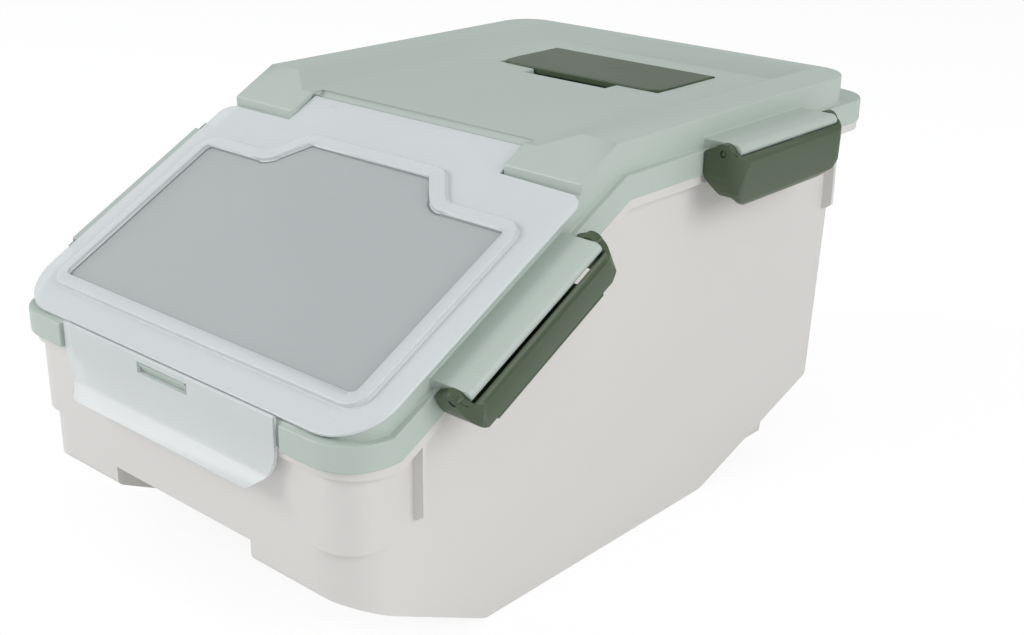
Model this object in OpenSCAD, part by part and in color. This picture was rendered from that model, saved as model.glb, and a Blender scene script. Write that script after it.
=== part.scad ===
// Rice bin with flip lid: a sloped-front grain bin in millimetres.
// X runs left to right, Y from the front skirt to the rear, Z up from the resting plane.

/* [Bin body] */
// Outside width of the bin walls
body_w = 236; // [200:1:280]
// Outside depth of the bin walls at the rim
body_d = 377.5; // [340:0.5:440]
// Wall thickness of the bin
wall_t = 2.4; // [1.6:0.1:3.5]
// Outside radius of the upright front corners
corner_r = 17; // [12:0.5:26]
// Outside radius of the upright rear corners
rear_corner_r = 9; // [5:0.5:16]
// Height of the ledge where the front corners tighten
ledge_z = 65; // [56:1:80]
// Extra radius of the front corners below the ledge
ledge_tuck_r = 9; // [4:1:20]
// Height of the front wall's lower edge above the resting plane
front_rise = 41; // [30:1:48]
// Length of the front underside chamfer, along Y
front_run = 82; // [60:1:95]
// Length of the flat floor, along Y
floor_run = 174; // [150:1:185]
// Height of the rear wall's lower edge above the resting plane
rear_rise = 38; // [28:1:55]
// How far the rear wall leans in from the rim to its lower edge
rear_lean = 10; // [4:1:14]
// Radius of the underside bends
under_r = 9; // [4:1:14]

/* [Grip notch and feet] */
// Width of the grip notch under the front edge
notch_w = 102; // [80:1:130]
// Height of the grip notch above the front edge
notch_h = 9.5; // [7:0.5:14]
// Depth of the grip notch, along Y
notch_d = 38; // [30:1:44]
// Outside distance between the rear feet
feet_w = 204; // [170:1:212]
// Width of one rear foot
foot_w = 13; // [10:0.5:20]
// Length of a rear foot on the resting plane
foot_l = 28; // [20:1:34]
// Distance from the flat floor to the rear feet
foot_gap = 57; // [45:1:66]
// Wall of the rear feet
foot_t = 2.4; // [1.8:0.1:3]

/* [Rim] */
// Height of the cover's lower edge at the front
rim_z = 106.5; // [96:0.5:120]
// Distance from the cover's front face to where the rim starts to climb
climb_start = 28.8; // [26:0.2:34]
// Length of the climbing stretch, along Y
climb_run = 148.7; // [140:0.1:156]
// Angle of the climbing stretch
climb_angle = 28; // [25:0.5:31]
// Thickness of the rim flange
flange_t = 4.5; // [3:0.1:6]
// Height of the bin wall above the flange
rim_up = 8; // [6:0.1:8.6]
// Gap between the flange edge and the cover's outer face
flange_inset = 1; // [0.6:0.1:1.6]
// Overhang of the cover past the front wall
front_over = 5.5; // [5.5:0.1:8]
// Overhang of the cover past each side wall
side_over = 7; // [6.8:0.1:12]
// Overhang of the cover past the rear wall
rear_over = 22.5; // [20:0.5:28]

/* [Stacking fins] */
// How far the fins stand out of the side wall
fin_out = 6; // [4:0.2:6]
// Thickness of a fin
fin_t = 2.2; // [1.6:0.1:3]
// Distance from the front wall to the front fins
front_fin_y = 36; // [32:0.5:44]
// Height of the front fins' lower end
front_fin_z = 72; // [68:1:84]
// Distance from the rear wall to the rear fins
rear_fin_y = 16; // [12:0.5:20]
// Height of the rear fins' lower end
rear_fin_z = 138; // [120:1:150]

/* [Cover] */
// Height of the cover's outer skirt
skirt_h = 12.6; // [11.8:0.1:12.8]
// Wall thickness of the cover
cover_t = 2.2; // [1.8:0.1:2.4]
// Height of the lid seat above the rim line
seat_h = 22.9; // [22.5:0.1:24]
// Height of the raised deck above the rim line
deck_h = 28; // [27:0.2:30]
// Distance from the skirt face to the raised part, at the sides
side_ledge = 3.4; // [3:0.1:6]
// Distance from the skirt face to the raised part, at the rear
rear_ledge = 20.5; // [17:0.5:20.5]
// Distance from the front face to the raised part
front_ledge = 5.5; // [5.5:0.1:8]
// Distance from the front face to the step behind the lid hinge
step_y = 167; // [166:0.2:169]
// Clear width between the two ears
ear_gap = 150; // [130:1:170]
// Lean of the ears' front faces
ear_rake = 2.5; // [2:0.1:3.5]
// Depth of the dished panel in the deck
dish_depth = 6.4; // [4:0.2:7]
// Width of the dished panel's sloping border
dish_slope = 16; // [8:0.5:20]
// Width of the flat border around the dish, at the sides
dish_side = 22.8; // [16:0.2:28]
// Distance from the deck's rear edge to the dish's floor
dish_rear = 24; // [14:0.5:30]

/* [Flip lid] */
// Thickness of the lid moulding
lid_t = 2; // [1.6:0.1:2.4]
// Gap between the lid and its seat
lid_gap = 0.3; // [0.2:0.05:0.5]
// Width of the lid
lid_w = 251.6; // [246:0.2:254]
// Distance along the slope from the climb start forward to the lid's edge
lid_front = 15.9; // [14:0.1:16]
// Gap between the lid's rear edge and the ears
lid_ear_gap = 1.6; // [1.2:0.1:2.4]
// Radius of the lid's front corners
lid_corner_r = 27; // [18:0.5:34]
// Gap between the lid's tongue and each ear
tongue_gap = 0.8; // [0.5:0.1:1.5]
// Height of the window frame above the lid
frame_rise = 2.8; // [2:0.1:4]
// Width of the window frame
frame_w = 6.5; // [6:0.1:8]
// Distance from the lid's front edge to the window frame
frame_front = 15.2; // [14:0.1:20]
// Distance from the lid's side edges to the window frame
frame_side = 13.8; // [12:0.1:18]
// Length of the window frame at its sides, along the slope
frame_len = 116.7; // [100:0.1:118]
// Extra length of the window frame in the middle
crown_len = 18.8; // [8:0.2:20]
// Width of the middle part of the window frame
crown_w = 94.4; // [80:0.2:112]
// Width of the slanting stretch at each side of the crown
crown_flare = 16; // [8:0.5:20]
// Height of the window sheet above the lid's underside
sheet_rise = 0.5; // [0.2:0.1:0.8]
// Diameter of the lid hinge barrel
barrel_d = 6.4; // [6:0.1:7]
// Diameter of the lid hinge pins
hinge_pin_d = 3; // [2.4:0.1:3.4]
// Length of each lid hinge pin
hinge_pin_l = 18; // [14:0.5:24]

/* [Lock flap] */
// Width of the flap
flap_w = 155; // [130:1:165]
// Thickness of the flap
flap_t = 2; // [1.6:0.1:2.2]
// Straight drop of the flap below the lid's edge
flap_drop = 29; // [22:0.5:32]
// Reach of the flap's finger lip
lip_reach = 9; // [6:0.5:12]
// Depth of the flap's recess in the cover skirt
recess_d = 3; // [2.8:0.1:3]
// Width of the catch slot
slot_w = 37; // [28:0.5:44]
// Height of the catch nub
nub_h = 4.6; // [3.8:0.1:5]

// Distance from the shoulder down to the catch nub
nub_at = 1.6; // [0.8:0.1:2.4]

/* [Side latches] */
// Diameter of the latch pins
latch_pin_d = 3.6; // [3:0.1:4]
// Outside diameter of the latch arm bosses
boss_d = 10; // [9:0.1:10.6]
// Distance from the skirt face to the latch pivot
pivot_out = 11.4; // [11.2:0.05:11.6]
// Height of the latch pivot above the rim line
pivot_h = 13; // [12.8:0.05:13.4]
// Width of a latch arm
arm_w = 4.5; // [4:0.1:6]
// Height of the latch shelves above the rim line
shelf_h = 17.6; // [17:0.1:18]
// How far the latch shelves stand out of the skirt face
shelf_out = 19; // [18.6:0.1:19.2]
// Height of the outer face of a latch shelf
shelf_face = 4.1; // [3:0.1:5]
// Length of the front shelves, along the slope
front_shelf_l = 94; // [80:1:100]
// Distance along the slope to the middle of the front shelves
front_shelf_at = 78.5; // [74:0.5:84]
// Length of the rear shelves
rear_shelf_l = 90; // [70:1:100]
// Distance from the rear wall to the middle of the rear shelves
rear_shelf_at = 99; // [90:0.5:106]
// Thickness of the latch panels
panel_t = 3; // [2.6:0.1:3.4]
// Drop of the front latch panels below the rim line
front_drop = 8.5; // [8.5:0.5:14]
// Drop of the rear latch panels below the rim line
rear_drop = 14.5; // [8.5:0.5:18]
// Lean of the latch panels towards the bin, from top to bottom
panel_lean = 3.4; // [2:0.1:4]
// Radius of the latches' outer corners, in plan
latch_plan_r = 9; // [5:0.5:12]
// Radius of the latch panels' lower corners
panel_r = 17; // [8:0.5:18]

/* [Carry handle] */
// Width of the handle plate
handle_w = 115; // [100:1:124]
// Depth of the handle plate
handle_d = 53.8; // [46:0.2:60]
// Thickness of the handle plate
handle_t = 3.6; // [3.2:0.1:4.2]
// Distance from the rear wall to the handle's rear edge
handle_at = 40.7; // [38:0.1:48]
// Width of the finger well
well_w = 60; // [50:1:80]
// Depth of the finger well under the deck
well_depth = 17; // [12:0.5:22]
// How far the finger well reaches in front of the handle
well_front = 11; // [8:0.5:14]
// Diameter of the handle pins
handle_pin_d = 1.8; // [1.4:0.1:2]

/* [Seals] */
// Width of the cover seal
seal_w = 3; // [2.4:0.1:3.4]
// Thickness of the lid seal
lid_seal_t = 1.5; // [1:0.1:1.7]

/* [Measuring cup] */
// Outside diameter at the cup's mouth
cup_d = 73; // [60:1:78]
// Outside diameter at the cup's base
cup_base_d = 62; // [52:1:66]
// Height of the cup
cup_h = 78; // [60:1:90]
// Wall thickness of the cup
cup_t = 1.5; // [1.2:0.1:2]
// Distance from the cup's axis to its flat side
cup_flat = 25; // [20:0.5:30]
// Length of the cup's tab
tab_l = 32; // [24:0.5:34]
// Width of the cup's tab
tab_w = 14; // [10:0.5:18]
// Sideways place of the stored cup
cup_x = 68; // [56:1:70]
// Distance from the front wall to the stored cup's axis
cup_y = 215; // [200:1:225]

/* [Hidden] */
// Fits and small clearances
run_fit = 0.05;
tight_fit = 0.01;
rest_gap = 0.3;
swing_gap = 0.45;
arc_step = 10;
far = 900;

// Places on the bin, from the front face of the cover
front_y = front_over;
rear_y = front_y + body_d;
cover_w = body_w + 2 * side_over;
cover_d = rear_y + rear_over;
half_w = cover_w / 2;
cover_r = corner_r + side_over;
climb_end = climb_start + climb_run;
rear_rim_z = rim_z + climb_run * tan(climb_angle);
deck_z = rear_rim_z + deck_h;
floor_y = front_y + front_run;
floor_end = floor_y + floor_run;
foot_y = floor_end + foot_gap;
front_fin_face = front_y + front_fin_y;
rear_fin_face = rear_y - rear_fin_y;

// Every piece is placed so that the origin is the middle of the flat base
base_mid = floor_y + floor_run / 2;

// Places on the slope, as [along, up] from the climb start
function slope_y(along, up) = climb_start + along * cos(climb_angle) - up * sin(climb_angle);
function slope_z(along, up) = rim_z + along * sin(climb_angle) + up * cos(climb_angle);
function along_of(y, z) = (y - climb_start) * cos(climb_angle) + (z - rim_z) * sin(climb_angle);
lid_low = seat_h + lid_gap;
lid_top = lid_low + lid_t;
axis_up = lid_top - barrel_d / 2;
axis_y = step_y - barrel_d / 2 - 2.8;
axis_along = (axis_y - climb_start + axis_up * sin(climb_angle)) / cos(climb_angle);
axis_z = slope_z(axis_along, axis_up);
ear_along = axis_along - sqrt(pow(axis_along - along_of(axis_y - 17.4, axis_z - 5.6), 2));
lid_rear = ear_along - lid_ear_gap;
tongue_w = ear_gap - 2 * tongue_gap;
lid_hw = lid_w / 2;
frame_hw = lid_hw - frame_side;
frame_start = frame_front - lid_front;
frame_top = lid_top + frame_rise;
mouth_inset = frame_w + 1;
lid_seal_low = frame_top - lid_t - lid_seal_t;

// Deck, handle and well
dish_z = deck_z - dish_depth;
dish_hw = half_w - side_ledge - dish_side;
dish_end = cover_d - rear_ledge - dish_rear + dish_slope;
handle_rear = rear_y - handle_at;
handle_front = handle_rear - handle_d;
handle_pivot_y = handle_rear - handle_t / 2;
handle_low = dish_z - handle_t + 0.8;
handle_pivot_z = handle_low + handle_t / 2;
bay_z = handle_low - rest_gap;
well_z = dish_z - well_depth;
well_end = handle_front + 36;
bay_wall = 8;

// Latches, in a frame whose origin is on the rim line under the shelf's middle
pivot_x = half_w + pivot_out;
panel_in = half_w + shelf_out + 0.7;
panel_out = panel_in + panel_t;
panel_top = pivot_h - 0.5;
hook_tip = half_w - flange_inset - 2.2;
hook_top = -flange_t - 0.5;
hook_t = 2.4;
pin_seat = 6;

// Flap and nub
lid_nose_z = slope_z(-lid_front, lid_top);
flap_back = recess_d - 0.5;
flap_face = flap_back - flap_t;
flap_axis_y = flap_back - flap_t / 2;
flap_axis_z = lid_nose_z - flap_t / 2;
flap_low = flap_axis_z + flap_t / 2 - flap_drop;
recess_hw = flap_w / 2 + 3.5;
nub_top = rim_z + skirt_h - nub_at;

// Outline with rounded corners: one radius per point, worked out from the two sides that meet there
function unit(v) = v / norm(v);
function turn(a, b) = let (d = atan2(b[1], b[0]) - atan2(a[1], a[0])) d > 180 ? d - 360 : d < -180 ? d + 360 : d;
function corner(p, q, s, r) =
    let (
        a = unit(p - q),
        b = unit(s - q),
        half = acos(max(-1, min(1, a * b))) / 2,
        centre = q + unit(a + b) * r / sin(half),
        from = q + a * r / tan(half) - centre,
        to = q + b * r / tan(half) - centre,
        sweep = turn(from, to),
        steps = max(1, ceil(abs(sweep) / arc_step)),
        start = atan2(from[1], from[0])
    )
    [for (i = [0:steps]) centre + r * [cos(start + sweep * i / steps), sin(start + sweep * i / steps)]];
function rounded(points, radii) =
    let (n = len(points))
    [for (i = [0:n - 1]) each (radii[i] == 0
        ? [points[i]]
        : corner(points[(i + n - 1) % n], points[i], points[(i + 1) % n], radii[i]))];

// Rim line raised by up, from front to rear, and a band between two heights above it
function rim_line(up) =
    let (shift = up * tan(climb_angle / 2))
    [[-far, rim_z + up], [climb_start - shift, rim_z + up],
     [climb_end - shift, rear_rim_z + up], [far, rear_rim_z + up]];
function backwards(list) = [for (i = [len(list) - 1:-1:0]) list[i]];

module across(width = 2 * far) {
    rotate([90, 0, 90])
        linear_extrude(height = width, center = true)
            children();
}

module band(low, high) {
    across()
        polygon(concat(rim_line(low), backwards(rim_line(high))));
}

module under_slope(up) {
    // Everything below the slope and the rear flat at a height above the rim line, also in front of the bend
    bend = climb_end - up * tan(climb_angle / 2);
    top = rear_rim_z + up;
    across()
        polygon([[-far, -far], [far, -far], [far, top], [bend, top],
            [-far, top - (bend + far) * tan(climb_angle)]]);
}

module on_slope() {
    translate([0, climb_start, rim_z])
        rotate([climb_angle, 0, 0])
            children();
}

// Upright prism with rounded corners, in plan
module plan(hw, y0, y1, front_r, rear_r) {
    translate([0, 0, -far / 2])
        linear_extrude(height = far)
            polygon(rounded(
                [[-hw, y0], [hw, y0], [hw, y1], [-hw, y1]],
                [front_r, front_r, rear_r, rear_r]));
}

module cover_plan(inset, front, rear) {
    plan(half_w - inset, front, cover_d - rear,
        max(cover_r - inset, 1), max(cover_r - inset, 1));
}

module placed() {
    translate([0, -base_mid, 0])
        children();
}

module box(x0, x1, y0, y1, z0, z1) {
    translate([x0, y0, z0])
        cube([x1 - x0, y1 - y0, z1 - z0]);
}

// Bin body: walls, rim flange, grip notch, feet and stacking fins
module body_side(inset) {
    lean = rear_lean / (rear_rim_z - rear_rise);
    front_bend = inset * (front_run / front_rise - 1) / 2;
    rear_bend = inset * 0.7;
    across()
        polygon(rounded(
            [
                [front_y + inset, front_rise + inset - front_bend * 0.6],
                [floor_y + inset * 0.25, inset],
                [floor_end - inset * 0.18, inset],
                [rear_y - rear_lean - inset, rear_rise + rear_bend],
                [rear_y - inset + lean * far / 2, rear_rim_z + far / 2],
                [front_y + inset, rear_rim_z + far / 2]
            ],
            [under_r / 2, under_r, under_r, under_r, 0, 0]));
}

module body_plan(inset, tuck) {
    plan(body_w / 2 - inset, front_y + inset, rear_y + 40,
        corner_r + tuck - inset, 1);
}

module rear_corners(inset) {
    // Rounds the upright rear corners of the leaning rear wall
    lean_angle = atan(rear_lean / (rear_rim_z - rear_rise));
    translate([0, rear_y, rear_rim_z])
        rotate([-lean_angle, 0, 0])
            translate([0, -rear_y, 0])
                plan(body_w / 2 - inset, front_y - far / 4, rear_y - inset, 1, rear_corner_r - inset);
}

module body_form(inset) {
    intersection() {
        body_side(inset);
        rear_corners(inset);
        union() {
            intersection() {
                body_plan(inset, 0);
                box(-far / 2, far / 2, -far / 2, far, ledge_z + inset * 0.4, far);
            }
            intersection() {
                body_plan(inset, ledge_tuck_r);
                box(-far / 2, far / 2, -far / 2, far, -far / 2, ledge_z + inset * 0.4);
            }
        }
    }
}

module notch_form(grow) {
    box(-notch_w / 2 - grow, notch_w / 2 + grow, front_y - 10, front_y + notch_d + grow,
        -20, front_rise + notch_h + grow);
}

module foot_form(side, inset) {
    // A hollow foot, open below, that ends in the rear underside chamfer
    x_out = feet_w / 2 - inset;
    x_in = feet_w / 2 - foot_w + inset;
    across_low = foot_y + inset;
    intersection() {
        box(min(side * x_in, side * x_out), max(side * x_in, side * x_out), 0, far, -1 * inset, far);
        across()
            polygon([[across_low, -inset], [foot_y + foot_l - inset, -inset],
                [foot_y + foot_l + 9 - inset, 46 - inset], [across_low, 46 - inset]]);
    }
}

module fin(side, face, low) {
    x_out = body_w / 2 + fin_out;
    x_in = body_w / 2 - 6;
    rotate([90, 0, 0])
        translate([0, 0, -face - fin_t])
            linear_extrude(height = fin_t)
                polygon([[side * x_in, low], [side * (x_out - 4), low], [side * x_out, low + 3],
                    [side * x_out, rear_rim_z], [side * x_in, rear_rim_z]]);
}

module bin_body() {
    color([0.86, 0.85, 0.84])
        difference() {
            union() {
                intersection() {
                    body_form(0);
                    across()
                        polygon(concat([[-far, -far], [far, -far]], backwards(rim_line(rim_up))));
                }
                intersection() {
                    band(-flange_t, 0);
                    cover_plan(flange_inset, recess_d + 0.2, flange_inset);
                }
                intersection() {
                    union() {
                        fin(1, front_fin_face, front_fin_z);
                        fin(-1, front_fin_face, front_fin_z);
                        fin(1, rear_fin_face, rear_fin_z);
                        fin(-1, rear_fin_face, rear_fin_z);
                    }
                    across()
                        polygon(concat([[-far, -far], [far, -far]], backwards(rim_line(-flange_t / 2))));
                }
                for (side = [-1, 1])
                    difference() {
                        foot_form(side, 0);
                        foot_form(side, foot_t);
                    }
            }
            difference() {
                body_form(wall_t);
                notch_form(wall_t);
            }
            notch_form(0);
        }
}

// Cover: skirt, lid seat, deck with its ears, dish, handle bay and latch shelves
module deck_zone(inset) {
    // Behind the hinge step, and over the ears at both sides
    rake = ear_rake / (deck_h - seat_h);
    union() {
        box(-far / 2, far / 2, step_y + inset, far, -far, far);
        difference() {
            on_slope()
                across()
                    polygon([[ear_along + inset - rake * seat_h, 0], [ear_along + inset + rake * seat_h, 2 * seat_h],
                        [far, far / 2], [far, 0]]);
            box(-ear_gap / 2 - inset, ear_gap / 2 + inset, -far, far / 2, -far, far);
        }
    }
}

module dish_form(grow) {
    top = deck_z + 1;
    run = dish_slope * (1 + 1 / dish_depth);
    intersection() {
        rotate([90, 0, 0])
            translate([0, 0, -far])
                linear_extrude(height = far)
                    polygon([[-dish_hw + dish_slope - grow, dish_z - grow],
                        [dish_hw - dish_slope + grow, dish_z - grow],
                        [dish_hw - dish_slope + run + grow, top], [-dish_hw + dish_slope - run - grow, top]]);
        across()
            polygon([[step_y - 30, dish_z - grow], [dish_end - dish_slope + grow, dish_z - grow],
                [dish_end - dish_slope + run + grow, top], [step_y - 30, top]]);
    }
}

function frame_line(inset) =
    let (
        hw = frame_hw - inset,
        low = frame_start + inset,
        high = frame_start + frame_len - inset,
        crown = high + crown_len,
        crown_hw = crown_w / 2 - inset * 0.8,
        foot_hw = crown_hw + crown_flare,
        r = max(10 - inset, 1.5)
    )
    rounded(
        [[-hw, low], [hw, low], [hw, high], [foot_hw, high], [crown_hw, crown],
         [-crown_hw, crown], [-foot_hw, high], [-hw, high]],
        [r, r, r, 10 + inset, r, r, 10 + inset, r]);

module frame_ring(outer, inner, low, high) {
    translate([0, 0, low])
        linear_extrude(height = high - low)
            difference() {
                polygon(frame_line(outer));
                polygon(frame_line(inner));
            }
}

module mouth() {
    on_slope()
        linear_extrude(height = 200, center = true)
            polygon(frame_line(mouth_inset));
}

function lid_outline(grow) =
    let (hw = lid_hw + grow, front = -lid_front - grow, rear = lid_rear + grow, t = tongue_w / 2 + grow)
    rounded(
        [[-hw, front], [hw, front], [hw, rear], [t, rear], [t, axis_along + grow],
         [-t, axis_along + grow], [-t, rear], [-hw, rear]],
        [lid_corner_r + grow, lid_corner_r + grow, 8 + grow, 0, 0, 0, 0, 8 + grow]);

module shelf(length) {
    // Latch shelf section, drawn from the skirt outward
    x_in = half_w - cover_t / 2;
    x_top = half_w - side_ledge - cover_t / 2;
    x_out = half_w + shelf_out;
    low = pivot_h - boss_d / 2;
    rotate([90, 0, 0])
        linear_extrude(height = length, center = true)
            polygon([[x_in, low], [pivot_x + 3, low + 1], [x_out, shelf_h - shelf_face],
                [x_out, shelf_h - 2], [x_out - 2, shelf_h], [x_top, shelf_h],
                [x_top, skirt_h - cover_t / 2], [x_in, skirt_h - cover_t / 2]]);
}

module pin_bores(length, diameter, reach) {
    // Bores along the latch axis, at both ends of a shelf
    for (end = [-1, 1])
        translate([pivot_x, end * length / 2, pivot_h])
            rotate([90, 0, 0])
                cylinder(h = 2 * reach, d = diameter, center = true, $fn = 48);
}

module at_front() {
    on_slope()
        translate([0, front_shelf_at, 0])
            children();
}

module at_rear() {
    translate([0, rear_y - rear_shelf_at, rear_rim_z])
        children();
}

module both_sides() {
    children();
    mirror([1, 0, 0])
        children();
}

module cover_walls() {
    difference() {
        union() {
            // Skirt and shoulder
            intersection() {
                band(0, skirt_h);
                cover_plan(0, 0, 0);
            }
            // Raised part up to the lid seat, then the deck and ears
            intersection() {
                band(0, deck_h);
                under_slope(seat_h);
                cover_plan(side_ledge, front_ledge, rear_ledge);
            }
            intersection() {
                band(0, deck_h);
                cover_plan(side_ledge, front_ledge, rear_ledge);
                deck_zone(0);
            }
        }
        // Hollow under the shoulder
        intersection() {
            band(-1, skirt_h - cover_t);
            difference() {
                cover_plan(cover_t, cover_t, cover_t);
                box(-recess_hw - cover_t, recess_hw + cover_t, -1, recess_d + cover_t, -far, far);
            }
        }
        // Hollow under the seat
        intersection() {
            under_slope(seat_h - cover_t);
            band(-1, deck_h);
            cover_plan(side_ledge + cover_t, front_ledge + cover_t, rear_ledge + cover_t);
        }
        // Hollow under the deck
        difference() {
            intersection() {
                band(-1, deck_h - cover_t);
                cover_plan(side_ledge + cover_t, front_ledge + cover_t, rear_ledge + cover_t);
                deck_zone(cover_t);
            }
            dish_form(cover_t);
        }
        dish_form(0);
        // Room for the flap and the lid's nose
        box(-recess_hw, recess_hw, -1, recess_d, 0, far);
    }
}

module press_rib() {
    // Rib that presses the seal onto the bin wall's top edge
    intersection() {
        union() {
            intersection() {
                under_slope(seat_h - cover_t / 2);
                band(skirt_h - cover_t, deck_h);
            }
            intersection() {
                band(skirt_h - cover_t, deck_h - cover_t / 2);
                deck_zone(cover_t / 2);
            }
        }
        cover_plan(side_ledge + cover_t / 2, front_ledge + cover_t / 2, rear_ledge + cover_t / 2);
        seal_ring_plan();
    }
}

module seal_ring_plan() {
    difference() {
        plan(body_w / 2, front_y, rear_y, corner_r, rear_corner_r);
        plan(body_w / 2 - seal_w, front_y + seal_w, rear_y - seal_w,
            corner_r - seal_w, rear_corner_r - seal_w);
    }
}

module handle_bay(grow) {
    side = handle_w / 2 + rest_gap + 0.3 + grow;
    box(-side, side, handle_front - rest_gap - 0.3 - grow, handle_rear + rest_gap + 0.3 + grow,
        bay_z - grow, dish_z + (grow > 0 ? 0 : 20));
}

module finger_well(grow) {
    box(-well_w / 2 - grow, well_w / 2 + grow, handle_front - well_front - grow, well_end + grow,
        well_z - grow, dish_z + (grow > 0 ? 0 : 20));
}

module hinge_trough(grow) {
    on_slope()
        translate([0, axis_along, axis_up])
            rotate([0, 90, 0])
                cylinder(h = ear_gap + max(grow, 2 * rest_gap), d = barrel_d + 1.2 + 2 * grow, center = true, $fn = 48);
}

module ear_boss() {
    // Boss inside an ear that holds one lid hinge pin
    translate([ear_gap / 2 + cover_t / 2, axis_y, axis_z])
        rotate([0, 90, 0])
            cylinder(h = hinge_pin_l - 8 - cover_t / 2, d = barrel_d, $fn = 48);
}

module hinge_bores(reach, diameter) {
    for (side = [-1, 1])
        translate([side * ear_gap / 2, axis_y, axis_z])
            rotate([0, 90, 0])
                cylinder(h = 2 * reach, d = diameter, center = true, $fn = 48);
}

module nub() {
    across(slot_w - 3)
        polygon([[recess_d + 0.5, nub_top - nub_h], [recess_d, nub_top - nub_h],
            [recess_d - 2.4, nub_top - 0.4], [recess_d - 2.4, nub_top], [recess_d + 0.5, nub_top]]);
}

module cover() {
    color([0.72, 0.80, 0.76])
        difference() {
            union() {
                cover_walls();
                press_rib();
                both_sides() {
                    at_front() shelf(front_shelf_l);
                    at_rear() shelf(rear_shelf_l);
                    intersection() {
                        ear_boss();
                        band(0, deck_h - cover_t / 2);
                    }
                }
                on_slope()
                    frame_ring(lid_t + 0.6, frame_w - lid_t - 0.6, seat_h - cover_t, lid_seal_low - rest_gap);
                handle_bay(cover_t);
                box(-handle_w / 2 - bay_wall, handle_w / 2 + bay_wall, handle_pivot_y - 6, handle_rear + cover_t,
                    bay_z - cover_t, dish_z);
                finger_well(cover_t);
                intersection() {
                    hinge_trough(cover_t);
                    box(-far / 2, far / 2, 0, step_y + cover_t / 2, 0, far);
                    band(0, seat_h - cover_t / 2);
                }
                nub();
            }
            mouth();
            handle_bay(0);
            finger_well(0);
            hinge_trough(0);
            hinge_bores(hinge_pin_l - 8.5, hinge_pin_d + 2 * tight_fit);
            both_sides() {
                at_front() pin_bores(front_shelf_l, latch_pin_d + 2 * tight_fit, pin_seat);
                at_rear() pin_bores(rear_shelf_l, latch_pin_d + 2 * tight_fit, pin_seat);
            }
            for (side = [-1, 1])
                translate([side * handle_w / 2, handle_pivot_y, handle_pivot_z])
                    rotate([0, 90, 0])
                        cylinder(h = 12, d = handle_pin_d + 2 * tight_fit, center = true, $fn = 32);
        }
}

module cover_seal() {
    color([0.93, 0.93, 0.92])
        intersection() {
            band(rim_up, skirt_h - cover_t);
            seal_ring_plan();
        }
}

// Flip lid: brim, raised window frame, window sheet and hinge barrel
module flip_lid() {
    color([0.83, 0.85, 0.86, 0.6])
        on_slope()
            difference() {
                union() {
                    translate([0, 0, lid_low])
                        linear_extrude(height = lid_t)
                            difference() {
                                polygon(lid_outline(0));
                                polygon(frame_line(1));
                            }
                    frame_ring(0, frame_w, lid_low, frame_top);
                    translate([0, 0, lid_low + sheet_rise])
                        linear_extrude(height = lid_t)
                            polygon(frame_line(frame_w - 1));
                    translate([0, axis_along, axis_up])
                        rotate([0, 90, 0])
                            cylinder(h = tongue_w, d = barrel_d, center = true, $fn = 48);
                }
                frame_ring(lid_t, frame_w - lid_t, lid_low - 1, frame_top - lid_t);
                for (side = [-1, 1])
                    translate([side * tongue_w / 2, axis_along, axis_up])
                        rotate([0, 90, 0])
                            cylinder(h = 22, d = hinge_pin_d + 2 * run_fit, center = true, $fn = 48);
            }
}

module lid_seal() {
    color([0.93, 0.93, 0.92])
        on_slope()
            frame_ring(lid_t + 0.1, frame_w - lid_t - 0.1, lid_seal_low, frame_top - lid_t);
}

module lid_hinge_pins() {
    color([0.7, 0.72, 0.72])
        for (side = [-1, 1])
            translate([side * (ear_gap / 2 - 0.5), axis_y, axis_z])
                rotate([0, 90, 0])
                    cylinder(h = hinge_pin_l, d = hinge_pin_d, center = true, $fn = 48);
}

// Lock flap: hangs from the lid's front edge over the skirt, with a finger lip and a catch slot
module lock_flap() {
    lip = lip_reach * cos(45);
    color([0.83, 0.85, 0.86, 0.6])
        difference() {
            intersection() {
                union() {
                    across(flap_w)
                        polygon(rounded(
                            [[flap_back, flap_axis_z], [flap_face, flap_axis_z], [flap_face, flap_low],
                             [flap_face - lip, flap_low - lip],
                             [flap_face - lip + flap_t * 0.7, flap_low - lip - flap_t * 0.7],
                             [flap_back, flap_low - flap_t * 0.4]],
                            [0, 0, 4, 0, 0, 6]));
                    translate([0, flap_axis_y, flap_axis_z])
                        rotate([0, 90, 0])
                            cylinder(h = flap_w, d = flap_t, center = true, $fn = 32);
                }
                rotate([90, 0, 0])
                    linear_extrude(height = 80, center = true)
                        polygon(rounded(
                            [[-flap_w / 2, lid_nose_z + 5], [-flap_w / 2, flap_low - lip - 3],
                             [flap_w / 2, flap_low - lip - 3], [flap_w / 2, lid_nose_z + 5]],
                            [0, 24, 24, 0]));
            }
            box(-slot_w / 2, slot_w / 2, -5, recess_d, nub_top - nub_h - 0.5, nub_top + 0.5);
        }
}

// Side latch: a panel that hangs below the shelf on two arms, with a hook for the rim flange
function latch_face(drop) =
    // Outer side of a latch, from the bottom up
    let (toe = panel_t + 0.6)
    [[panel_out - panel_lean - toe, -drop], [panel_out - panel_lean, toe - drop],
     [panel_out, panel_top - panel_t * 0.8], [panel_in, panel_top]];

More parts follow.
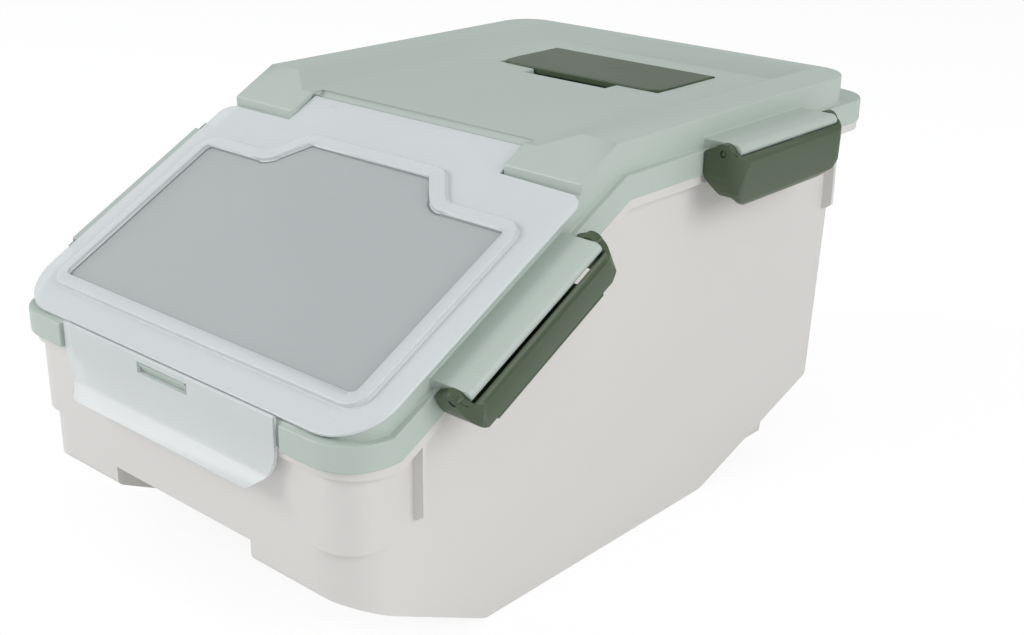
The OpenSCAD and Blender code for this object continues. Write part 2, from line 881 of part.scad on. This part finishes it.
module latch(length, drop) {
    total = length + 2 * (arm_w + rest_gap);
    boss_r = boss_d / 2;
    difference() {
        intersection() {
            union() {
                rotate([90, 0, 0])
                    linear_extrude(height = total, center = true)
                        polygon(concat(latch_face(drop), [[panel_in - panel_lean - 2, -drop]]));
                box(hook_tip, panel_in - 1, -length / 2 + 8, length / 2 - 8, hook_top - hook_t, hook_top);
                for (end = [-1, 1])
                    translate([0, end * (total - arm_w) / 2, 0])
                        rotate([90, 0, 0])
                            linear_extrude(height = arm_w, center = true)
                                union() {
                                    translate([pivot_x, pivot_h])
                                        circle(r = boss_r, $fn = 64);
                                    polygon(concat(latch_face(drop),
                                        [[pivot_x, pivot_h + boss_r], [half_w + swing_gap + 0.2, pivot_h],
                                         [half_w + swing_gap, -0.5], [panel_in - panel_lean - 3, -drop]]));
                                }
            }
            across()
                polygon(rounded(
                    [[-total / 2, -drop], [total / 2, -drop],
                     [total / 2, pivot_h + boss_r + 1], [-total / 2, pivot_h + boss_r + 1]],
                    [panel_r, panel_r, 0, 0]));
            translate([0, 0, -far / 2])
                linear_extrude(height = far)
                    polygon(rounded(
                        [[hook_tip, -total / 2], [panel_out, -total / 2],
                         [panel_out, total / 2], [hook_tip, total / 2]],
                        [0, latch_plan_r, latch_plan_r, 0]));
        }
        pin_bores(total, latch_pin_d + 2 * run_fit, arm_w + 1);
    }
}

module latch_pins(length) {
    for (end = [-1, 1])
        translate([pivot_x, end * (length / 2 + (arm_w - pin_seat) / 2), pivot_h])
            rotate([90, 0, 0])
                cylinder(h = arm_w + pin_seat - 0.4, d = latch_pin_d, center = true, $fn = 48);
}

module dark() {
    color([0.36, 0.42, 0.35])
        children();
}

module steel() {
    color([0.62, 0.64, 0.62])
        children();
}

module mirrored() {
    mirror([1, 0, 0])
        children();
}

module front_right_latch() { dark() at_front() latch(front_shelf_l, front_drop); }
module front_left_latch() { mirrored() dark() at_front() latch(front_shelf_l, front_drop); }
module rear_right_latch() { dark() at_rear() latch(rear_shelf_l, rear_drop); }
module rear_left_latch() { mirrored() dark() at_rear() latch(rear_shelf_l, rear_drop); }
module front_right_latch_pins() { steel() at_front() latch_pins(front_shelf_l); }
module front_left_latch_pins() { mirrored() steel() at_front() latch_pins(front_shelf_l); }
module rear_right_latch_pins() { steel() at_rear() latch_pins(rear_shelf_l); }
module rear_left_latch_pins() { mirrored() steel() at_rear() latch_pins(rear_shelf_l); }

// Carry handle: a plate that lies in its bay and folds up about its rear edge
module carry_handle() {
    dark()
        difference() {
            union() {
                translate([0, 0, handle_low])
                    linear_extrude(height = handle_t)
                        polygon(rounded(
                            [[-handle_w / 2, handle_front], [handle_w / 2, handle_front],
                             [handle_w / 2, handle_pivot_y], [-handle_w / 2, handle_pivot_y]],
                            [9, 9, 0, 0]));
                translate([0, handle_pivot_y, handle_pivot_z])
                    rotate([0, 90, 0])
                        cylinder(h = handle_w, d = handle_t, center = true, $fn = 48);
            }
            for (side = [-1, 1])
                translate([side * handle_w / 2, handle_pivot_y, handle_pivot_z])
                    rotate([0, 90, 0])
                        cylinder(h = 14, d = handle_pin_d + 2 * run_fit, center = true, $fn = 32);
        }
}

module handle_pins() {
    steel()
        for (side = [-1, 1])
            translate([side * handle_w / 2, handle_pivot_y, handle_pivot_z])
                rotate([0, 90, 0])
                    cylinder(h = 11.6, d = handle_pin_d, center = true, $fn = 32);
}

// Measuring cup: tapered, with one flat side and a thin tab, stored on the bin's floor
module cup_form(inset) {
    intersection() {
        translate([0, 0, inset])
            cylinder(h = cup_h, d1 = cup_base_d - 2 * inset, d2 = cup_d - 2 * inset, $fn = 72);
        box(-far / 2, cup_flat - inset, -far / 2, far / 2, 0, far);
    }
}

module measuring_cup() {
    color([0.88, 0.90, 0.91, 0.5])
        translate([cup_x, front_y + cup_y, wall_t + rest_gap])
            rotate([0, 0, 90])
                difference() {
                    union() {
                        cup_form(0);
                        box(-cup_d / 2 - tab_l, -cup_d / 2 + 4, -tab_w / 2, tab_w / 2, cup_h - 1.8, cup_h);
                    }
                    cup_form(cup_t);
                }
}

placed() bin_body();
placed() cover();
placed() cover_seal();
placed() flip_lid();
placed() lid_seal();
placed() lid_hinge_pins();
placed() lock_flap();
placed() front_right_latch();
placed() front_left_latch();
placed() rear_right_latch();
placed() rear_left_latch();
placed() front_right_latch_pins();
placed() front_left_latch_pins();
placed() rear_right_latch_pins();
placed() rear_left_latch_pins();
placed() carry_handle();
placed() handle_pins();
placed() measuring_cup();
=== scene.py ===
import math

import bpy
from bpy.props import FloatProperty, FloatVectorProperty, PointerProperty
from mathutils import Matrix, Vector


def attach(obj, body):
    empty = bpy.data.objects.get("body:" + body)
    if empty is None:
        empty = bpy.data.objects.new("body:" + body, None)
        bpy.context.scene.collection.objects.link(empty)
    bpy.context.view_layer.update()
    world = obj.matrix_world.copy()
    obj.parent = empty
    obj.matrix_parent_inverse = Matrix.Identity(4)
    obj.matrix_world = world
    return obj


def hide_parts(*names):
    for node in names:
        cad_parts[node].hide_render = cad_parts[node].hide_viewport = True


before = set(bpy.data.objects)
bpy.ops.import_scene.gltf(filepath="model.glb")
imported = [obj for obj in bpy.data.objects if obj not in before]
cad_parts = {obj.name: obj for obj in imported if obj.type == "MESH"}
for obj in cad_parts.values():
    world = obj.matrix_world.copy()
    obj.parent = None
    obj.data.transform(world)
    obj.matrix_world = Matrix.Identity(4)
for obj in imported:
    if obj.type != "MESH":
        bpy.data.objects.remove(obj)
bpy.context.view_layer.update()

bl_info = {
    "name": "Rice bin with flip lid",
    "version": (1, 0, 0),
    "blender": (4, 5, 0),
    "location": "View3D > Sidebar > Rice bin",
    "description": "Dresses the sloped-front rice bin: body, cover, lid, latches, handle and studio",
    "category": "Object",
}

# Lid: its tilt, and the direction that its top faces
SLOPE = math.radians(28)
LID_UP = Vector((0, -math.sin(SLOPE), math.cos(SLOPE)))

# Merging a node's loose triangles: how near two corners and how level two faces are
MERGE_DISTANCE = 0.00006
MERGE_ANGLE = math.radians(1.2)

# Rounding: the bend of a sharp edge, the room that it needs in radii, the share of that
# room below which it stays sharp, the least room that is counted, the room in radii at a
# corner with no other edges, and the cosine of two edges that run straight on
SHARP_ANGLE = math.radians(32)
NEEDED_ROOM = 2.3
LEAST_SHARE = 0.9
LEAST_ROOM = 0.00002
OPEN_ROOM = 4
STRAIGHT_ON = -0.85

# Edge radii against the common one, the latch pins' own radius, and the rubber's grain
THIN_SHARE = 0.8
LATCH_SHARE = 1.3
PIN_ROUND = 0.0003
RUBBER_GRAIN = 1.5

# Shading: the bend up to which faces shade as one, and how much the wide ones lead
SMOOTH_ANGLE = math.radians(40)
WIDE_LEAD = 80

# Lid's sheet: how squarely its faces look along LID_UP, the same once the painted shade line is
# set in, the height steps in a metre that sort faces into levels, and the lid's materials: frost,
# sheet, and the painted shade line, a darker band for the shade where the raised frame steps down
SQUARE_ON = 0.9999
NEARLY_SQUARE_ON = 0.999
LEVELS_PER_METRE = 2000
FROST, SHEET, SHADE_LINE = range(3)

# Plastic: detail of its clouds and grain, the clouds' range that carries the tone, how far
# the roughness goes down and up, depth of the grain, refraction, and the coat's roughness
CLOUD_DETAIL = 3
GRAIN_DETAIL = 2
CLOUD_LOW, CLOUD_HIGH = 0.15, 0.85
SMOOTHER, ROUGHER = 0.05, 0.06
GRAIN_DEPTH = 0.0002
PLASTIC_IOR = 1.49
COAT_ROUGHNESS = 0.12

# Camera: its angles, target, distance and focal length in pixels, all found by fitting
# the bin's straight edges in the photograph
CAMERA_TURN = math.radians(41.392)
CAMERA_TILT = math.radians(21.665)
CAMERA_ROLL = math.radians(0.796)
CAMERA_TARGET = Vector((0.023713, 0.035867, 0.090380))
CAMERA_DISTANCE = 0.79174
FOCAL_PIXELS = 1455.3
PHOTO_WIDTH = 1024
SENSOR_WIDTH = 36
NEAREST, FARTHEST = 0.02, 60

# Floor: its corners, radius and height, and the glow that the camera sees in it
FLOOR_CORNERS = 96
FLOOR_RADIUS = 14
FLOOR_HEIGHT = -0.0002
GLOW_SHARE = 0.8
GLOW = 1.08

# Light: the surrounding light's tint and strength, and each lamp's name, place, size and
# power, all turned to one point in the bin
WHITE = (1, 1, 1, 1)
SKY_TINT = (0.97, 0.985, 1, 1)
SKY_STRENGTH = 0.52
LAMP_TARGET = Vector((0, 0, 0.1))
LAMPS = (
    ("key lamp", (-1.25, -1.45, 1.1), 1.2, 18),
    ("side lamp", (1.8, 0.0, 1.05), 1.2, 13),
    ("top lamp", (0.2, 0.5, 1.9), 1.4, 2),
)


class RiceBinColours(bpy.types.PropertyGroup):
    """Colours of the rice bin's plastics, of the painted shade line around the lid's clear sheet and
    of the floor, as display colours.
    """

    body: FloatVectorProperty(
        name="Bin body", description="Off-white plastic of the bin body",
        subtype="COLOR_GAMMA", size=3, min=0, max=1, default=(0.875, 0.865, 0.852))
    cover: FloatVectorProperty(
        name="Cover", description="Sage green plastic of the cover",
        subtype="COLOR_GAMMA", size=3, min=0, max=1, default=(0.735, 0.785, 0.752))
    frost: FloatVectorProperty(
        name="Frosted plastic", description="See-through plastic of the lid and cup",
        subtype="COLOR_GAMMA", size=3, min=0, max=1, default=(0.915, 0.932, 0.938))
    window: FloatVectorProperty(
        name="Window", description="Clearer plastic sheet in the lid",
        subtype="COLOR_GAMMA", size=3, min=0, max=1, default=(0.845, 0.862, 0.866))
    # Painted shade: a darker line around the clear sheet that stands in for the shade where the
    # lid's raised frame steps down to it
    shade_line: FloatVectorProperty(
        name="Window shade line", description="Darker line around the lid's clear sheet",
        subtype="COLOR_GAMMA", size=3, min=0, max=1, default=(0.560, 0.580, 0.580))
    flap: FloatVectorProperty(
        name="Lock flap", description="Thin frosted plastic of the flap",
        subtype="COLOR_GAMMA", size=3, min=0, max=1, default=(0.930, 0.946, 0.949))
    dark: FloatVectorProperty(
        name="Latches and handle", description="Grey-green plastic of the latches and handle",
        subtype="COLOR_GAMMA", size=3, min=0, max=1, default=(0.302, 0.360, 0.272))
    seal: FloatVectorProperty(
        name="Seals", description="Soft rubber of the two seals",
        subtype="COLOR_GAMMA", size=3, min=0, max=1, default=(0.880, 0.880, 0.870))
    floor: FloatVectorProperty(
        name="Floor", description="Pale studio floor",
        subtype="COLOR_GAMMA", size=3, min=0, max=1, default=(0.960, 0.960, 0.960))


class RiceBinSizes(bpy.types.PropertyGroup):
    """Small radii and surface sizes that the solids leave plain."""

    edge_round: FloatProperty(
        name="Edge radius", description="Radius on the edges of the body, lid and latches",
        subtype="DISTANCE", unit="LENGTH", min=0.0002, max=0.002, default=0.0007)
    cover_round: FloatProperty(
        name="Cover edge radius", description="Radius on the edges of the cover",
        subtype="DISTANCE", unit="LENGTH", min=0.0002, max=0.002, default=0.0009)
    # Width of the painted shade line around the clear sheet
    shade_line_width: FloatProperty(
        name="Window shade line", description="Width of the darker line around the clear sheet",
        subtype="DISTANCE", unit="LENGTH", min=0.0003, max=0.004, default=0.0013)
    grain: FloatProperty(
        name="Grain size", description="Size of the fine moulded grain",
        subtype="DISTANCE", unit="LENGTH", min=0.0002, max=0.003, default=0.0008)
    frost_alpha: FloatProperty(
        name="Frost opacity", description="Opacity of the frosted plastic",
        subtype="FACTOR", min=0.2, max=0.95, default=0.78)
    window_alpha: FloatProperty(
        name="Window opacity", description="Opacity of the lid's clear sheet",
        subtype="FACTOR", min=0.2, max=0.95, default=0.58)
    flap_alpha: FloatProperty(
        name="Flap opacity", description="Opacity of the lock flap",
        subtype="FACTOR", min=0.2, max=0.95, default=0.6)


def settings(context):
    """The colours and the sizes that the panel shows."""
    return context.scene.ricebin_colours, context.scene.ricebin_sizes


def deselect():
    """Leaves edit mode and selects nothing."""
    if bpy.context.object is not None and bpy.context.object.mode != "OBJECT":
        bpy.ops.object.mode_set(mode="OBJECT")
    bpy.ops.object.select_all(action="DESELECT")


def make_active(piece):
    """Selects this piece alone."""
    deselect()
    piece.select_set(True)
    bpy.context.view_layer.objects.active = piece


def linear(colour):
    """Turns a display colour into the linear one that shaders take, by the sRGB curve."""
    return [c / 12.92 if c <= 0.04045 else ((c + 0.055) / 1.055) ** 2.4 for c in colour]


def shade(colour, factor):
    """A display colour as a shader colour, made lighter or darker."""
    return [min(1, c * factor) for c in linear(colour)] + [1]


def empty_tree(owner):
    """Turns on the nodes of a material or a world and clears them."""
    owner.use_nodes = True
    owner.node_tree.nodes.clear()
    return owner.node_tree.nodes, owner.node_tree.links


def plastic(name, colour, roughness, grain, bump, mottle, cloud, alpha=1, coat=0, specular=0.5):
    """Moulded plastic: a faint cloudy tone, a roughness that follows it, and fine grain."""
    material = bpy.data.materials.new(name)
    nodes, links = empty_tree(material)
    output = nodes.new("ShaderNodeOutputMaterial")
    surface = nodes.new("ShaderNodeBsdfPrincipled")
    places = nodes.new("ShaderNodeTexCoord")
    clouds = nodes.new("ShaderNodeTexNoise")
    clouds.inputs["Scale"].default_value = 1 / cloud
    clouds.inputs["Detail"].default_value = CLOUD_DETAIL
    ramp = nodes.new("ShaderNodeValToRGB")
    ramp.color_ramp.interpolation = "EASE"
    darker, lighter = ramp.color_ramp.elements
    darker.position = CLOUD_LOW
    darker.color = shade(colour, 1 - mottle)
    lighter.position = CLOUD_HIGH
    lighter.color = shade(colour, 1 + mottle)
    fine = nodes.new("ShaderNodeTexNoise")
    fine.inputs["Scale"].default_value = 1 / grain
    fine.inputs["Detail"].default_value = GRAIN_DETAIL
    rough = nodes.new("ShaderNodeMapRange")
    rough.inputs["To Min"].default_value = roughness - SMOOTHER
    rough.inputs["To Max"].default_value = roughness + ROUGHER
    relief = nodes.new("ShaderNodeBump")
    relief.inputs["Strength"].default_value = bump
    relief.inputs["Distance"].default_value = GRAIN_DEPTH
    links.new(places.outputs["Object"], clouds.inputs["Vector"])
    links.new(places.outputs["Object"], fine.inputs["Vector"])
    links.new(clouds.outputs["Fac"], ramp.inputs["Fac"])
    links.new(ramp.outputs["Color"], surface.inputs["Base Color"])
    links.new(clouds.outputs["Fac"], rough.inputs["Value"])
    links.new(rough.outputs["Result"], surface.inputs["Roughness"])
    links.new(fine.outputs["Fac"], relief.inputs["Height"])
    links.new(relief.outputs["Normal"], surface.inputs["Normal"])
    links.new(surface.outputs["BSDF"], output.inputs["Surface"])
    surface.inputs["IOR"].default_value = PLASTIC_IOR
    surface.inputs["Specular IOR Level"].default_value = specular
    surface.inputs["Alpha"].default_value = alpha
    if coat:
        surface.inputs["Coat Weight"].default_value = coat
        surface.inputs["Coat Roughness"].default_value = COAT_ROUGHNESS
    return material


def edge_faces(mesh):
    """The faces beside each edge, by the edge's key."""
    faces = {}
    for polygon in mesh.polygons:
        for key in polygon.edge_keys:
            faces.setdefault(key, []).append(polygon)
    return faces


def is_sharp(sides):
    """Whether two faces meet at more than SHARP_ANGLE."""
    return len(sides) == 2 and sides[0].normal.dot(sides[1].normal) < math.cos(SHARP_ANGLE)


def runs_straight(corner, edges, spots):
    """Whether exactly two sharp edges meet at a corner, and run on in nearly one line."""
    if len(edges) != 2:
        return False
    ways = [(spots[sum(edge.vertices) - corner] - spots[corner]).normalized() for edge in edges]
    return ways[0].dot(ways[1]) < STRAIGHT_ON


def corner_rooms(mesh, spots, sharp, length, width):
    """The shortest edge at each corner, apart from a sharp line that runs straight on."""
    around = {}
    for edge in mesh.edges:
        for corner in edge.vertices:
            around.setdefault(corner, []).append(edge)
    rooms = {}
    for corner, edges in around.items():
        straight = runs_straight(corner, [e for e in edges if sharp[e.index]], spots)
        lengths = [length[e.index] for e in edges if not (straight and sharp[e.index])]
        rooms[corner] = min(lengths, default=width * OPEN_ROOM)
    return rooms


def side_room(edge, sides, spots, length, width):
    """How near the other corners of the faces beside an edge come to it, alongside it."""
    start, end = (spots[corner] for corner in edge.vertices)
    along = (end - start).normalized()
    room = math.inf
    for polygon in sides:
        for corner in polygon.vertices:
            reach = spots[corner] - start
            run = reach.dot(along)
            if corner not in edge.vertices and -width < run < length + width:
                room = min(room, max((reach - along * run).length, LEAST_ROOM))
    return room


def mark_edges(mesh, width):
    """Gives each sharp edge with enough room its bevel weight, 1 or a little less.

    An edge whose neighbours leave too little room gets none, because its rounding would
    fold over. It stays sharp.
    """
    spots = [vertex.co for vertex in mesh.vertices]
    faces = edge_faces(mesh)
    sharp, length = {}, {}
    for edge in mesh.edges:
        start, end = (spots[corner] for corner in edge.vertices)
        sharp[edge.index] = is_sharp(faces.get(edge.key, []))
        length[edge.index] = (start - end).length
    rooms = corner_rooms(mesh, spots, sharp, length, width)
    weights = mesh.attributes.new("bevel_weight_edge", "FLOAT", "EDGE")
    for edge in mesh.edges:
        if sharp[edge.index]:
            beside = side_room(edge, faces[edge.key], spots, length[edge.index], width)
            room = min(beside, *(rooms[corner] for corner in edge.vertices))
            share = room / (NEEDED_ROOM * width)
            weights.data[edge.index].value = min(1, share) if share > LEAST_SHARE else 0


def settle(piece):
    """Turns the piece to triangles and lets its wide faces lead the shading."""
    bpy.ops.object.mode_set(mode="EDIT")
    bpy.ops.mesh.select_all(action="SELECT")
    bpy.ops.mesh.quads_convert_to_tris(quad_method="BEAUTY", ngon_method="BEAUTY")
    bpy.ops.object.mode_set(mode="OBJECT")
    bpy.ops.object.shade_smooth_by_angle(angle=SMOOTH_ANGLE)
    weighting = piece.modifiers.new("weighting", "WEIGHTED_NORMAL")
    weighting.mode = "FACE_AREA"
    weighting.weight = WIDE_LEAD
    weighting.keep_sharp = True
    bpy.ops.object.modifier_apply(modifier="weighting")


def skin(node, width, segments, clamp):
    """A copy of a CAD node with merged faces and, where a width is given, rounded edges."""
    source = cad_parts[node]
    piece = bpy.data.objects.new(node + "_skin", source.data.copy())
    bpy.context.scene.collection.objects.link(piece)
    make_active(piece)
    bpy.ops.object.mode_set(mode="EDIT")
    bpy.ops.mesh.select_all(action="SELECT")
    bpy.ops.mesh.remove_doubles(threshold=MERGE_DISTANCE)
    bpy.ops.mesh.dissolve_limited(angle_limit=MERGE_ANGLE)
    bpy.ops.object.mode_set(mode="OBJECT")
    if width:
        mark_edges(piece.data, width)
        rounding = piece.modifiers.new("rounding", "BEVEL")
        rounding.width = width
        rounding.segments = segments
        rounding.limit_method = "WEIGHT"
        rounding.use_clamp_overlap = clamp
        bpy.ops.object.modifier_apply(modifier="rounding")
    settle(piece)
    return piece


def dress(node, width, material, body, segments=2, clamp=True):
    """Puts a skin in a CAD node's place, with its material, on the node's body.

    The cover and the latches go without the bevel's own clamp, because their shortest
    edge would take the rounding off all the others.
    """
    piece = skin(node, width, segments, clamp)
    piece.data.materials.clear()
    piece.data.materials.append(material)
    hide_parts(node)
    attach(piece, body)
    return piece


class BodyOperator(bpy.types.Operator):
    """Dresses the bin body"""

    bl_idname = "ricebin.body"
    bl_label = "Bin body"

    def execute(self, context):
        colours, sizes = settings(context)
        white = plastic("white plastic", colours.body, roughness=0.36, grain=sizes.grain,
                        bump=0.05, mottle=0.012, cloud=0.09)
        dress("bin_body", sizes.edge_round, white, "bin")
        return {"FINISHED"}


class CoverOperator(bpy.types.Operator):
    """Dresses the cover, the two seals and the lid's hinge pins"""

    bl_idname = "ricebin.cover"
    bl_label = "Cover and seals"

    def execute(self, context):
        colours, sizes = settings(context)
        green = plastic("sage plastic", colours.cover, roughness=0.34, grain=sizes.grain,
                        bump=0.05, mottle=0.015, cloud=0.08)
        dress("cover", sizes.cover_round, green, "bin", clamp=False)
        rubber = plastic("white rubber", colours.seal, roughness=0.6,
                         grain=sizes.grain * RUBBER_GRAIN, bump=0.15, mottle=0.02, cloud=0.02)
        dress("cover_seal", 0, rubber, "bin")
        dress("lid_seal", 0, rubber, "lid")
        dress("lid_hinge_pins", 0, green, "bin")
        return {"FINISHED"}


def glaze(lid, shade_line):
    """Gives the lid's sheet its clear material, with a painted shade line beside the raised frame:
    a darker band that stands in for the shade that the frame's step casts on the sheet.

    The sheet is the widest level of faces that look down or up along LID_UP.
    """
    mesh = lid.data
    make_active(lid)
    bpy.ops.object.mode_set(mode="EDIT")
    bpy.ops.mesh.select_mode(type="FACE")
    bpy.ops.mesh.select_all(action="DESELECT")
    bpy.ops.object.mode_set(mode="OBJECT")
    for way in (-LID_UP, LID_UP):
        levels = {}
        for polygon in mesh.polygons:
            if polygon.normal.dot(way) > SQUARE_ON:
                height = round(polygon.center.dot(LID_UP) * LEVELS_PER_METRE)
                levels.setdefault(height, []).append(polygon)
        for polygon in max(levels.values(), key=lambda level: sum(face.area for face in level)):
            polygon.material_index = SHEET
            polygon.select = way == LID_UP
    bpy.ops.object.mode_set(mode="EDIT")
    bpy.ops.mesh.inset(thickness=shade_line, use_even_offset=True)
    bpy.ops.object.mode_set(mode="OBJECT")
    # The inset ring beside the frame takes the painted shade line's material
    for polygon in mesh.polygons:
        on_top = polygon.normal.dot(LID_UP) > NEARLY_SQUARE_ON
        if polygon.material_index == SHEET and not polygon.select and on_top:
            polygon.material_index = SHADE_LINE
    settle(lid)


class LidOperator(bpy.types.Operator):
    """Dresses the flip lid, the lock flap and the measuring cup in frosted plastic"""

    bl_idname = "ricebin.lid"
    bl_label = "Lid, flap and cup"

    def execute(self, context):
        colours, sizes = settings(context)
        frost = plastic("frosted plastic", colours.frost, roughness=0.26, grain=sizes.grain,
                        bump=0.06, mottle=0.012, cloud=0.07, alpha=sizes.frost_alpha, coat=0.2)
        clear = plastic("window plastic", colours.window, roughness=0.2, grain=sizes.grain,
                        bump=0.04, mottle=0.02, cloud=0.09, alpha=sizes.window_alpha, coat=0.3)
        # Painted shade: a darker plastic for the line of shade where the raised frame steps down to
        # the sheet
        line = plastic("window rim plastic", colours.shade_line, roughness=0.3, grain=sizes.grain,
                       bump=0.04, mottle=0.03, cloud=0.05, alpha=0.8)
        lid = dress("flip_lid", sizes.edge_round, frost, "lid")
        lid.data.materials.append(clear)
        lid.data.materials.append(line)
        glaze(lid, sizes.shade_line_width)
        thin = plastic("flap plastic", colours.flap, roughness=0.3, grain=sizes.grain,
                       bump=0.06, mottle=0.012, cloud=0.07, alpha=sizes.flap_alpha, coat=0.1)
        dress("lock_flap", sizes.edge_round * THIN_SHARE, thin, "flap")
        dress("measuring_cup", sizes.edge_round * THIN_SHARE, frost, "cup")
        return {"FINISHED"}


def grey_green_plastic(context):
    """The dark plastic that the latches and the handle share, made when first asked for."""
    name = "grey green plastic"
    if name in bpy.data.materials:
        return bpy.data.materials[name]
    colours, sizes = settings(context)
    return plastic(name, colours.dark, roughness=0.33, grain=sizes.grain, bump=0.05,
                   mottle=0.04, cloud=0.05, specular=0.35)


class LatchOperator(bpy.types.Operator):
    """Dresses the four side latches and their pins"""

    bl_idname = "ricebin.latches"
    bl_label = "Side latches"

    def execute(self, context):
        dark = grey_green_plastic(context)
        width = settings(context)[1].edge_round * LATCH_SHARE
        for side in ("right", "left"):
            for end in ("front", "rear"):
                name = f"{end}_{side}_latch"
                body = f"latch_{end}_{side}"
                dress(name, width, dark, body, segments=3, clamp=False)
                dress(name + "_pins", PIN_ROUND, dark, "bin")
        return {"FINISHED"}


class HandleOperator(bpy.types.Operator):
    """Dresses the carry handle and its pins"""

    bl_idname = "ricebin.handle"
    bl_label = "Carry handle"

    def execute(self, context):
        dark = grey_green_plastic(context)
        width = settings(context)[1].edge_round
        dress("carry_handle", width, dark, "handle", segments=3)
        dress("handle_pins", 0, dark, "bin")
        return {"FINISHED"}


def place_camera(scene):
    """Stands the camera at the photograph's viewing angle."""
    turn, tilt, roll = CAMERA_TURN, CAMERA_TILT, CAMERA_ROLL
    back = Vector((math.sin(turn) * math.cos(tilt), -math.cos(turn) * math.cos(tilt),
                   math.sin(tilt)))
    right = Vector((math.cos(turn), math.sin(turn), 0))
    up = back.cross(right)
    side = right * math.cos(roll) + up * math.sin(roll)
    top = up * math.cos(roll) - right * math.sin(roll)
    data = bpy.data.cameras.new("camera")
    data.sensor_width = SENSOR_WIDTH
    data.sensor_fit = "HORIZONTAL"
    data.lens = SENSOR_WIDTH * FOCAL_PIXELS / PHOTO_WIDTH
    data.clip_start = NEAREST
    data.clip_end = FARTHEST
    camera = bpy.data.objects.new("camera", data)
    place = Matrix((side, top, back)).transposed().to_4x4()
    place.translation = CAMERA_TARGET + back * CAMERA_DISTANCE
    camera.matrix_world = place
    scene.collection.objects.link(camera)
    scene.camera = camera


def lay_floor(scene):
    """A wide pale floor that keeps the bin's shadow and looks white to the camera."""
    deselect()
    bpy.ops.mesh.primitive_circle_add(vertices=FLOOR_CORNERS, radius=FLOOR_RADIUS,
                                      fill_type="NGON", location=(0, 0, FLOOR_HEIGHT))
    floor = bpy.context.object
    floor.name = "floor"
    bpy.ops.object.transform_apply(location=True, rotation=True, scale=True)
    material = bpy.data.materials.new("studio floor")
    nodes, links = empty_tree(material)
    output = nodes.new("ShaderNodeOutputMaterial")
    mixed = nodes.new("ShaderNodeMixShader")
    paper = nodes.new("ShaderNodeBsdfDiffuse")
    paper.inputs["Color"].default_value = shade(scene.ricebin_colours.floor, 1)
    glow = nodes.new("ShaderNodeEmission")
    glow.inputs["Color"].default_value = WHITE
    glow.inputs["Strength"].default_value = GLOW
    rays = nodes.new("ShaderNodeLightPath")
    part = nodes.new("ShaderNodeMath")
    part.operation = "MULTIPLY"
    part.inputs[1].default_value = GLOW_SHARE
    links.new(rays.outputs["Is Camera Ray"], part.inputs[0])
    links.new(part.outputs["Value"], mixed.inputs["Fac"])
    links.new(paper.outputs["BSDF"], mixed.inputs[1])
    links.new(glow.outputs["Emission"], mixed.inputs[2])
    links.new(mixed.outputs["Shader"], output.inputs["Surface"])
    floor.data.materials.append(material)


def surround(scene):
    """A world that looks white to the camera and lights the bin softly."""
    world = bpy.data.worlds.new("studio")
    nodes, links = empty_tree(world)
    output = nodes.new("ShaderNodeOutputWorld")
    mixed = nodes.new("ShaderNodeMixShader")
    rays = nodes.new("ShaderNodeLightPath")
    seen = nodes.new("ShaderNodeBackground")
    seen.inputs["Color"].default_value = WHITE
    lit = nodes.new("ShaderNodeBackground")
    lit.inputs["Color"].default_value = SKY_TINT
    lit.inputs["Strength"].default_value = SKY_STRENGTH
    links.new(rays.outputs["Is Camera Ray"], mixed.inputs["Fac"])
    links.new(lit.outputs["Background"], mixed.inputs[1])
    links.new(seen.outputs["Background"], mixed.inputs[2])
    links.new(mixed.outputs["Shader"], output.inputs["Surface"])
    scene.world = world


def hang_lamp(scene, name, place, size, power):
    """A round soft lamp, turned to the bin."""
    data = bpy.data.lights.new(name, "AREA")
    data.shape = "DISK"
    data.size = size
    data.energy = power
    light = bpy.data.objects.new(name, data)
    light.location = place
    light.rotation_euler = (LAMP_TARGET - Vector(place)).to_track_quat("-Z", "Y").to_euler()
    scene.collection.objects.link(light)


class StageOperator(bpy.types.Operator):
    """Builds the camera, the pale floor and the soft studio light"""

    bl_idname = "ricebin.stage"
    bl_label = "Studio"

    def execute(self, context):
        scene = context.scene
        place_camera(scene)
        lay_floor(scene)
        surround(scene)
        for lamp in LAMPS:
            hang_lamp(scene, *lamp)
        scene.view_settings.view_transform = "Standard"
        return {"FINISHED"}


class RiceBinPanel(bpy.types.Panel):
    """Lists the operators and the settings of the rice bin"""

    bl_idname = "VIEW3D_PT_ricebin"
    bl_label = "Rice bin"
    bl_space_type = "VIEW_3D"
    bl_region_type = "UI"
    bl_category = "Rice bin"

    def draw(self, context):
        layout = self.layout
        for operator in OPERATORS:
            layout.operator(operator.bl_idname)
        for group in settings(context):
            for name in group.__annotations__:
                layout.prop(group, name)


GROUPS = (RiceBinColours, RiceBinSizes)
OPERATORS = (StageOperator, BodyOperator, CoverOperator, LidOperator, LatchOperator,
             HandleOperator)


def register():
    for cls in GROUPS + OPERATORS + (RiceBinPanel,):
        bpy.utils.register_class(cls)
    bpy.types.Scene.ricebin_colours = PointerProperty(type=RiceBinColours)
    bpy.types.Scene.ricebin_sizes = PointerProperty(type=RiceBinSizes)


def unregister():
    del bpy.types.Scene.ricebin_sizes
    del bpy.types.Scene.ricebin_colours
    for cls in reversed(GROUPS + OPERATORS + (RiceBinPanel,)):
        bpy.utils.unregister_class(cls)


def main():
    register()
    bpy.ops.ricebin.stage()
    bpy.ops.ricebin.body()
    bpy.ops.ricebin.cover()
    bpy.ops.ricebin.lid()
    bpy.ops.ricebin.latches()
    bpy.ops.ricebin.handle()
    deselect()


if __name__ == "__main__":
    main()
